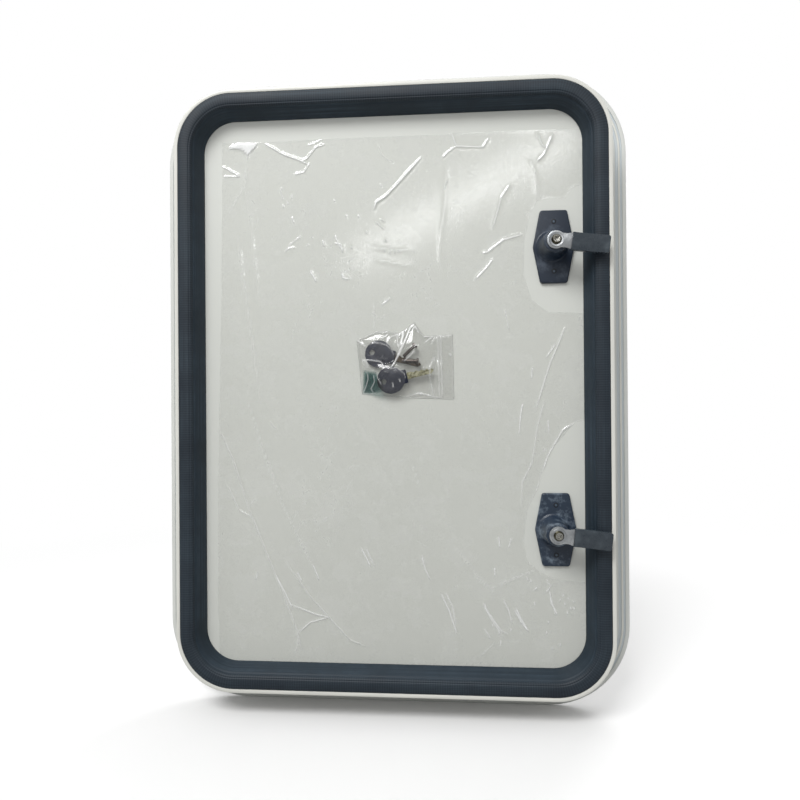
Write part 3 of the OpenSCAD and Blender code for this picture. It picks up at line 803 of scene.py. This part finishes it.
class HATCH_OT_film(bpy.types.Operator):
    """Makes the creased protective film on the panel"""

    bl_idname = "hatch.film"
    bl_label = "Protective film"

    def execute(self, context):
        sizes = context.scene.hatch_door.sizes
        wide, tall = 392.0, 552.0
        bm = bmesh.new()
        columns, rows = round(wide / sizes.film_cell), round(tall / sizes.film_cell)
        bmesh.ops.create_grid(bm, x_segments=columns, y_segments=rows, size=0.5)
        bmesh.ops.scale(bm, vec=(wide, tall, 1), verts=bm.verts)
        bmesh.ops.translate(bm, vec=(3, -12, 0), verts=bm.verts)
        # the cut edges of the film are followed exactly
        for outline in FILM_CUTS:
            for a, b in zip(outline, closed(outline)[1:]):
                a, b = Vector((*a, 0)), Vector((*b, 0))
                middle, reach = (a + b) / 2, (b - a).length / 2 + 3
                near = [f for f in bm.faces if (f.calc_center_median() - middle).length < reach]
                geom = near + list({e for f in near for e in f.edges}) + list({v for f in near for v in f.verts})
                across = (b - a).cross(Vector((0, 0, 1)))
                bmesh.ops.bisect_plane(bm, geom=geom, dist=1e-4, plane_co=a, plane_no=across)
        centres = np.array([f.calc_center_median()[:2] for f in bm.faces])
        gone = ~inside(centres, FILM_EDGE) | inside(centres, FILM_TORN_UPPER) | inside(centres, FILM_TORN_LOWER)
        gone |= np.array([room_to_seal(x, y) < -1.6 for x, y in centres])
        bm.faces.ensure_lookup_table()
        bmesh.ops.delete(bm, geom=[bm.faces[i] for i in np.flatnonzero(gone)], context="FACES")

        # finer cells along the creases
        middles = np.array([(e.verts[0].co + e.verts[1].co)[:2] for e in bm.edges]) / 2
        close = np.full(len(middles), 1e9)
        for _, half, shine, line in FILM_CREASES:
            close = np.minimum(close, from_line(middles, line)[0] / (half + 0.9 if shine > 0.3 else 0.01))
        bm.edges.ensure_lookup_table()
        along = [bm.edges[i] for i in np.flatnonzero(close < 1)]
        bmesh.ops.subdivide_edges(bm, edges=along, cuts=2, use_grid_fill=True)

        points = np.array([v.co[:2] for v in bm.verts])
        height, bright = creased(points, FILM_CREASES, sizes.crease_height)
        folded, _ = from_line(points, closed(FILM_FOLDED_CORNER))
        in_fold = inside(points, FILM_FOLDED_CORNER)
        height = np.maximum(height, np.where(in_fold, 1.1, np.exp(-((folded / 1.2) ** 2))))
        # painted highlight: the folded corner is painted bright, with a bright line along its outline
        bright = np.maximum(bright, np.where(in_fold, 0.95, 0.6 * np.exp(-((folded / 0.8) ** 2))))
        for outline in FILM_CUTS:
            gap, _ = from_line(points, closed(outline))
            lifted = np.exp(-((gap / 1.6) ** 2))
            height = np.maximum(height, 0.1 * lifted)
            # painted highlight along the film's lifted cut edges
            bright = np.maximum(bright, 0.08 * lifted)
        # between its creases the film lies almost flat, and it is flat where it runs under the seal
        loose = np.array([noise.fractal(Vector((x * 0.02, y * 0.016, 3.1)), 1.0, 2.1, 4) for x, y in points])
        height += 0.03 * np.clip(loose + 0.35, 0, 1)
        room = np.array([room_to_seal(x, y) for x, y in points])
        height *= np.clip((room - 0.5) / 5, 0, 1)
        shine = bm.verts.layers.float.new("painted_highlight")
        for vert, rise, glow in zip(bm.verts, height, bright):
            vert.co.z = PANEL + FILM_LIFT + rise
            vert[shine] = glow
        bm.transform(UPRIGHT)
        film = clear_film("polyethylene_film_blown_clear", 0.015, 0.95, 0.09, 1.4, 0.06, 0.36)
        bmesh.ops.recalc_face_normals(bm, faces=bm.faces)
        if sum(f.normal.y for f in bm.faces) > 0:
            bmesh.ops.reverse_faces(bm, faces=bm.faces)
        sheet = put(bm, "protective_film_sheet", film, "leaf", "protective_film", sharp=180, recalc=False)
        return {"FINISHED"}


def plate_outline(grow=0.0, corner=2.6, steps=5):
    """Six-sided outline of a lock plate with rounded corners."""
    half_h, end_w, mid_w = 36.7 + grow, 13.4 + grow * 0.75, 20.6 + grow
    sharp = [(-end_w, half_h), (-mid_w, 0), (-end_w, -half_h), (end_w, -half_h), (mid_w, 0), (end_w, half_h)]
    points = []
    for i, place in enumerate(sharp):
        before, here, after = Vector(sharp[i - 1]), Vector(place), Vector(sharp[(i + 1) % 6])
        reach = corner if abs(here.y) > 1 else corner * 0.6
        a = here + (before - here).normalized() * reach
        b = here + (after - here).normalized() * reach
        for k in range(steps):
            t = k / (steps - 1)
            points.append(tuple((1 - t) ** 2 * a + 2 * t * (1 - t) * here + t * t * b))
    return points


class HATCH_OT_plates(bpy.types.Operator):
    """Makes the six-sided lock plates with their collars and rivets"""

    bl_idname = "hatch.plates"
    bl_label = "Lock plates"

    def execute(self, context):
        settings = context.scene.hatch_door
        fresh = moulded_nylon("glass_filled_nylon_moulded", settings.colours.nylon, "56606d")
        scuffed = moulded_nylon("glass_filled_nylon_scuffed", "233040", "93a2b0", 0.36)
        # painted shadow and painted highlight for the rivet heads' rings and centres
        rivet_painted_shadow = moulded_nylon("nylon_rivet_painted_shadow", "0b0f15", "1a212b", 0.5)
        rivet_painted_highlight = moulded_nylon("nylon_rivet_painted_highlight", "465462", "7c8996", 0.34)
        for side in (1, -1):
            nylon = fresh if side > 0 else scuffed
            name = lock_name(side)
            bm = extruded([(x + PLATE_SHIFT, y) for x, y in plate_outline()], PLATE_T, PANEL)
            rim = [e for e in bm.edges if all(v.co.z > PANEL + 3 for v in e.verts)]
            bevel(bm, rim, settings.sizes.plate_rounding, 4)
            top = PLATE_TOP
            absorb(bm, turned([
                (16.9, top - 0.3), (16.6, top + 0.2), (16.1, top + 0.7), (15.5, top + 0.8), (14.8, top + 1.4),
                (13.6, top + 4), (12.5, top + 9), (11.7, top + 15), (11.2, BOSS_TOP - 1.2), (10.9, BOSS_TOP - 0.4),
                (10.2, BOSS_TOP), (8.1, BOSS_TOP), (8.1, top - 0.3),
            ], 64))
            bm.transform(UPRIGHT @ at_lock(side))
            put(bm, "lock_plate_moulding_" + name, nylon, "leaf", "lock_plate_" + name, sharp=40)
            rivets = bmesh.new()
            for t in (-1, 1):
                ring = turned([
                    (2.6, top - 0.05), (2.3, top + 0.12), (1.7, top + 0.1), (1.5, top - 0.2), (1.1, top + 0.25),
                    (0.0, top + 0.35),
                ], 24)
                ring.transform(Matrix.Translation((PLATE_SHIFT, t * DIMPLE_Y, 0)))
                absorb(rivets, ring)
            rivets.transform(UPRIGHT @ at_lock(side))
            heads = put(rivets, "plate_rivet_heads_" + name, rivet_painted_shadow, "leaf", "plate_rivets_" + name, recalc=False)
            # painted shadow and highlight: each rivet head's ring is painted near-black for the shadow of its
            # dimple, its centre paler for a highlight
            heads.data.materials.append(rivet_painted_highlight)
            for polygon in heads.data.polygons:
                place = UPRIGHT.inverted() @ polygon.center - Vector((LOCK_X + PLATE_SHIFT, side * LOCK_Y, 0))
                crown = abs(place.x) < 1.0 and abs(abs(place.y) - DIMPLE_Y) < 1.0
                polygon.material_index = 1 if crown else 0
        return {"FINISHED"}


class HATCH_OT_levers(bpy.types.Operator):
    """Makes the plated levers with their screws, washers and soft sleeves"""

    bl_idname = "hatch.levers"
    bl_label = "Cam levers"

    def execute(self, context):
        colours = context.scene.hatch_door.colours
        zinc = plated_steel("zinc_plated_steel_pressed", "c9ccce", "9fa3a6", 0.3)
        nickel = plated_steel("nickel_plated_screw", "c9c8c2", "77756c", 0.2)
        flank_painted_shade = plated_steel("steel_screw_flank_painted_shade", "6f6b5a", "37352c", 0.3)
        pvc = moulded_nylon("dipped_pvc_sleeve_satin", colours.sleeve, "545d63", 0.27)
        for side in (1, -1):
            name = lock_name(side)
            body = "lock_" + name
            dress("lever_" + name, "lever_strap_" + name, zinc, body, 0.45, 2, 20)
            dress("lever_sleeve_" + name, "lever_sleeve_dip_" + name, pvc, body, 1.7, 4, 25)
            dress("spindle_" + name, "spindle_turned_" + name, zinc, body, 0.25)
            rim = [(7.0, 0.0), (7.1, 0.5), (6.7, 1.0), (5.4, 0.8), (2.6, 0.8), (2.6, 0.0)]
            washer = turned([(r, EYE_TOP + d) for r, d in rim], 40)
            # toothed rim of the lock washer
            for vert in washer.verts:
                if vert.co.xy.length > 6.0:
                    vert.co.z += 0.22 * math.cos(18 * math.atan2(vert.co.y, vert.co.x))
            washer.transform(UPRIGHT @ at_lock(side))
            put(washer, "toothed_washer_" + name, zinc, body, "lever_washer_" + name)
            screw = dress("lever_screw_" + name, "cross_screw_" + name, nickel, body, 0.3, 2, 25)
            # painted shade: the flank of the head is painted dark olive for its shadow and dark reflections; the
            # crown keeps the bright plating
            screw.data.materials.append(flank_painted_shade)
            axis = (UPRIGHT @ at_lock(side)).translation
            for polygon in screw.data.polygons:
                out = math.hypot(polygon.center.x - axis.x, polygon.center.z - axis.z) / MM
                polygon.material_index = 1 if 3.5 < out < 5.6 else 0
        return {"FINISHED"}


class HATCH_OT_outside_locks(bpy.types.Operator):
    """Finishes the outside of the locks: housings, grips and key barrels"""

    bl_idname = "hatch.outside_locks"
    bl_label = "Outside of the locks"

    def execute(self, context):
        nylon = bpy.data.materials["glass_filled_nylon_moulded"]
        zinc = bpy.data.materials["zinc_plated_steel_pressed"]
        for side in (1, -1):
            name = lock_name(side)
            dress("lock_housing_" + name, "housing_moulding_" + name, nylon, "leaf", 0.6, 3)
            dress("turn_grip_" + name, "grip_moulding_" + name, nylon, "lock_" + name, 1.2, 4)
            dress("key_barrel_" + name, "barrel_face_" + name, zinc, "lock_" + name, 0.25)
        return {"FINISHED"}


# Creases of the zip bag over the keys, in rows as on the film.
BAG_CREASES = crease_rows("""
3.2 0.7 1  26,69 21.5,61 15.5,49 10,39 5,28.5 0,20.5
3 0.6 0.85  26,69 19,65.5 12,61 7,57 7.5,49.5 9.5,39
3.2 0.6 0.95  25.5,66.5 20,56 14.5,45 8.5,33 1.5,22
2.4 1.4 1  8.5,56 12,57 12.5,52 10.5,44
0.8 0.5 0.45  -16.5,60 -9,59.5 0,59.5 7,57.5
1.2 0.8 0.85  -10.5,52.5 -5.5,54.5 -2,57
1.2 0.6 0.7  0,54.5 -2,50 -3,45.5
1.6 0.6 0.85  -35,51.5 -31,49 -26,45
1.2 0.5 0.6  -33.5,48 -29,46.5 -25,44.5
1.4 0.6 0.8  -29,30.5 -25,29 -22,23
1.4 0.6 0.85  -29,30.5 -19.5,30 -10,28.5 -7,25.5
1.2 0.5 0.7  -29,30.5 -26.5,25.5 -23,22
1 0.5 0.55  -21,45.5 -16,48 -9,47 -3,45 1.5,40.5 3.5,35
1 0.6 0.8  19.5,50.5 23,53 28.5,51.5
0.8 0.6 0.6  29.5,53 38,54 46.5,55 52,56
0.9 0.6 0.6  36,47.5 39.5,51 44,54
0.8 0.5 0.5  41.5,45.5 43.5,48.5 47.5,54
1.3 0.7 0.55  44.5,33.5 42.5,28 40.5,21 40.5,11.5 42,3 44.5,-8.5
0.9 0.6 0.55  46,33 44.5,28
0.8 0.8 0.95  60.5,36.5 62.5,33.5
1.2 0.7 0.6  14,-8 23,-5.5 30.5,-3.5 37.5,-6 51.5,-9
1.2 1 0.95  29.5,-4.5 32,-5
1 0.6 0.75  -29,-4 -21.5,-4.5 -14,-3.5
1.4 0.6 0.7  2.5,7 3.5,2
1.4 0.6 0.7  9.5,10.5 10.5,7.5
1.4 0.6 0.5  -24.5,18.5 -23,11.5 -25,4.5 -28.5,-4
1.4 0.6 0.45  -17,15 -16,8 -20,1 -17,-4.5
1.4 0.6 0.4  -13.5,16.5 -12.5,11.5 -8.5,4.5
1.2 0.5 0.5  0,20.5 6.5,22 14.5,16 16,11
1.4 0.6 0.6  -3.5,47.5 0,53 7,57
1.2 0.6 0.7  14.5,28.5 21.5,35 25.5,38.5
""")
BAG_TOP = [
    (-35, 51), (-15.3, 60), (-2.9, 60.4), (7, 58), (19, 55.5), (25, 54.2), (31, 54.4), (64, 55.8),
]
BAG_FOOT = [(-30.0, -4.8), (15.0, -8.8), (65.0, -10.5)]
# outline of the painted reflection of the keys in the bag's folds
BAG_KEY_REFLECTION = [(-27, 19), (-15, 17), (-8, 6), (-8, -1), (-17, -3.5), (-28, -3)]
# the bag as it lies, in millimetres
BAG_WIDE, BAG_HIGH = 98, 66


def along_line(line, t):
    """Point at the part t (0 to 1) of a line's width."""
    x = line[0][0] + (line[-1][0] - line[0][0]) * t
    for (ax, ay), (bx, by) in zip(line, line[1:]):
        if x <= bx:
            return np.array((x, ay + (by - ay) * (x - ax) / (bx - ax)))
    return np.array(line[-1])


class HATCH_OT_key_bag(bpy.types.Operator):
    """Makes the zip bag with the keys and spare screws inside"""

    bl_idname = "hatch.key_bag"
    bl_label = "Key bag"

    def execute(self, context):
        key_plastic = moulded_nylon("abs_key_head_moulded", "0c1428", "1d2740", 0.3)
        brass = plated_steel("nickel_brass_key_blade_cut", "dedcba", "6d6a4c", 0.3, 1.3, 2.2)
        # painted shade: key a's blade is painted dark brown for the shade and dark reflections it lies in
        blade_painted_shade = plated_steel("brass_key_blade_painted_shade", "6b6050", "38322b", 0.36, 1.3, 3.0)
        browned = plated_steel("browned_steel_screw", "6a625c", "3f3a37", 0.32)
        for key, blade in (("a", blade_painted_shade), ("b", brass)):
            dress(f"key_{key}_head", f"key_head_{key}", key_plastic, "leaf", 0.9, 3)
            dress(f"key_{key}_blade", f"key_blade_{key}", blade, "leaf", 0.2, 1)
            dress(f"spare_screw_{key}", f"spare_screw_steel_{key}", browned, "leaf", 0.3)

        bm = bmesh.new()
        bmesh.ops.create_grid(bm, x_segments=118, y_segments=80, size=0.5)
        uv = np.array([(v.co.x + 0.5, v.co.y + 0.5) for v in bm.verts])
        flat = np.array([(1 - v) * along_line(BAG_FOOT, u) + v * along_line(BAG_TOP, u) for u, v in uv])
        edge = (np.minimum(uv, 1 - uv) * (BAG_WIDE, BAG_HIGH)).min(1)
        # it swells over the key heads, the screws and the blade: middle, reach and height of each mound
        mounds = [
            ((-12, 36.5), 20, 4.6), ((0.6, 9.6), 20, 8.2), ((22, 34), (19, 17), 8.8), ((32, 18), (17, 10), 7.0)
        ]
        keys = [np.exp(-(((flat - mid) / reach) ** 4).sum(1)) * high for mid, reach, high in mounds]
        rise = 0.5 + np.max(keys, axis=0)
        # painted highlight along the bag's creases
        ridge, bright = creased(flat, BAG_CREASES)
        rise = np.minimum(rise + ridge * 0.6, 9.8)
        # the two ribs of the zip, near the right end, with a painted highlight along each
        for place in (0.845, 0.875):
            rib = np.exp(-(((uv[:, 0] - place) * BAG_WIDE / 0.7) ** 2))
            rise += 0.7 * rib
            bright = np.maximum(bright, 0.35 * rib)
        # painted highlight along the bag's edges
        bright = np.maximum(bright, 0.4 * np.exp(-((edge / 1.1) ** 2)))
        rise *= np.clip(edge / 3.5, 0, 1)
        shine = bm.verts.layers.float.new("painted_highlight")
        painted_key_reflection = bm.verts.layers.float.new("painted_key_reflection")
        # painted reflection of the dark keys in the folds at the lower left: strongest deep inside the outline,
        # fading outside it
        gap, _ = from_line(flat, closed(BAG_KEY_REFLECTION))
        dark = np.clip(np.where(inside(flat, BAG_KEY_REFLECTION), 0.55 + gap / 4, 0.55 - gap / 3), 0, 1)
        # the fold that stands up as a peak at the top edge
        pulled = np.clip(1 - np.abs(flat[:, 0] - 22) / 13, 0, 1) * np.clip((uv[:, 1] - 0.72) / 0.28, 0, 1) ** 1.5
        for vert, (x, y), high, glow, pull, deep in zip(bm.verts, flat, rise, bright, pulled, dark):
            vert.co = (x + 3 * pull, y + 14 * pull, PANEL + 0.55 + high)
            vert[shine] = glow
            vert[painted_key_reflection] = deep
        back = bmesh.ops.duplicate(bm, geom=bm.verts[:] + bm.edges[:] + bm.faces[:])["geom"]
        for vert in (g for g in back if isinstance(g, bmesh.types.BMVert)):
            vert.co.z = PANEL + 0.5
            vert[shine] = vert[shine] * 0.3
            vert[painted_key_reflection] = 0.0
        bmesh.ops.remove_doubles(bm, verts=bm.verts, dist=0.06)
        bm.transform(UPRIGHT)
        film = clear_film("polyethylene_zip_bag_clear", 0.015, 0.85, 0.02, 5.0, 0.14, 0.12)
        bag = put(bm, "zip_bag", film, "leaf", "key_bag", sharp=180)
        return {"FINISHED"}


class HATCH_OT_stage(bpy.types.Operator):
    """Sets the floor, the lamps, the world and the camera"""

    bl_idname = "hatch.stage"
    bl_label = "Stage"

    def execute(self, context):
        scene = context.scene
        bm = bmesh.new()
        bmesh.ops.create_grid(bm, x_segments=2, y_segments=2, size=3.0)
        bmesh.ops.translate(bm, vec=(0, 0, FRAME_LOW.z - 0.0005), verts=bm.verts)
        mesh = bpy.data.meshes.new("floor")
        bm.to_mesh(mesh)
        bm.free()
        material, tree, shader = new_material("studio_floor_white")
        wire(tree, shader, {"Base Color": (0.9, 0.9, 0.9, 1), "Roughness": 0.9})
        # the floor fades into the white surround about a metre out, and throws less light back than it shows
        away = add(tree, "ShaderNodeVectorMath", {0: object_place(tree)}, operation="LENGTH").outputs["Value"]
        surround = add(tree, "ShaderNodeEmission", {"Color": WHITE, "Strength": 1.0})
        dim = add(tree, "ShaderNodeBsdfDiffuse", {"Color": (0.38, 0.38, 0.38, 1)})
        seen = add(tree, "ShaderNodeLightPath").outputs["Is Camera Ray"]
        shown = mixed_shader(tree, spread(tree, away, 0.45, 1.15), shader, surround)
        show(tree, mixed_shader(tree, seen, dim, shown))
        mesh.materials.append(material)
        floor = bpy.data.objects.new("floor", mesh)
        scene.collection.objects.link(floor)

        world = bpy.data.worlds.new("studio")
        scene.world = world
        world.use_nodes = True
        tree = world.node_tree
        tree.nodes.clear()
        path = add(tree, "ShaderNodeLightPath").outputs
        seen = maths(tree, "MAXIMUM", path["Is Camera Ray"], path["Is Transmission Ray"])
        # brighter overhead than in front, as in a room with a lit ceiling
        up = add(tree, "ShaderNodeSeparateXYZ", {"Vector": object_place(tree)}).outputs["Z"]
        strength = spread(tree, up, -0.2, 0.9, 0.33, 0.72)
        plain = add(tree, "ShaderNodeBackground", {"Color": WHITE, "Strength": strength})
        white = add(tree, "ShaderNodeBackground", {"Color": WHITE, "Strength": 1.0})
        mix = mixed_shader(tree, seen, plain, white)
        add(tree, "ShaderNodeOutputWorld", {"Surface": mix.outputs[0]})

        def lamp(name, place, aim, wide, high, power, roll=0.0):
            light = bpy.data.lights.new(name, "AREA")
            light.shape = "RECTANGLE"
            light.size, light.size_y, light.energy = wide, high, power
            lit = bpy.data.objects.new(name, light)
            turn = (Vector(aim) - Vector(place)).to_track_quat("-Z", "Y").to_matrix()
            turn = turn @ Matrix.Rotation(roll, 3, "Z")
            lit.matrix_world = Matrix.Translation(place) @ turn.to_4x4()
            scene.collection.objects.link(lit)

        middle = (0, 0, CENTRE_Z * MM)
        lamp("lamp_overhead_front", (-0.9, -1.9, 2.5), middle, 1.4, 1.1, 64.0)
        lamp("lamp_back", (0.9, 1.4, 1.3), middle, 1.0, 1.0, 13.0)
        # a tube whose mirror image lies slantwise across the upper right of the film
        lamp("lamp_tube", (0.107, -1.4, 0.966), (0.07, -0.03, 0.51), 0.8, 0.05, 1.3, math.radians(27))

        camera_data = bpy.data.cameras.new("camera")
        camera_data.sensor_width = 36
        camera_data.lens = 27
        camera_data.clip_start = 0.01
        camera = bpy.data.objects.new("camera", camera_data)
        to_frame = Matrix(((1, 0, 0), (0, 0, -1), (0, 1, 0)))
        turn = Vector([math.radians(a) for a in (0.18, 4.15, -0.42)])
        aim = to_frame @ Matrix.Rotation(turn.length, 3, turn.normalized())
        stand = Matrix.Translation((54.1 * MM, -(DEPTH + 596.8) * MM, (CENTRE_Z - 12.9) * MM))
        camera.matrix_world = stand @ aim.to_4x4()
        scene.collection.objects.link(camera)
        scene.camera = camera
        scene.view_settings.view_transform = "Standard"
        return {"FINISHED"}


class HATCH_PT_door(bpy.types.Panel):
    """Lists the door's pieces in the order in which they are made"""

    bl_label = "Hatch Door"
    bl_idname = "HATCH_PT_door"
    bl_space_type = "VIEW_3D"
    bl_region_type = "UI"
    bl_category = "Hatch Door"

    def draw(self, context):
        settings = context.scene.hatch_door
        for operator in OPERATORS:
            self.layout.operator(operator.bl_idname)
        for group in (settings.colours, settings.sizes):
            for name in group.bl_rna.properties.keys():
                if name not in ("rna_type", "name"):
                    self.layout.prop(group, name)


OPERATORS = [
    HATCH_OT_frame, HATCH_OT_seal, HATCH_OT_leaf, HATCH_OT_hinge, HATCH_OT_film, HATCH_OT_plates,
    HATCH_OT_levers, HATCH_OT_outside_locks, HATCH_OT_key_bag, HATCH_OT_stage,
]
CLASSES = [HatchColours, HatchSizes, HatchSettings, *OPERATORS, HATCH_PT_door]


def register():
    for item in CLASSES:
        bpy.utils.register_class(item)
    bpy.types.Scene.hatch_door = PointerProperty(type=HatchSettings)


def unregister():
    del bpy.types.Scene.hatch_door
    for item in reversed(CLASSES):
        bpy.utils.unregister_class(item)


def main():
    register()
    for operator in OPERATORS:
        group, name = operator.bl_idname.split(".")
        getattr(getattr(bpy.ops, group), name)()


if __name__ == "__main__":
    main()
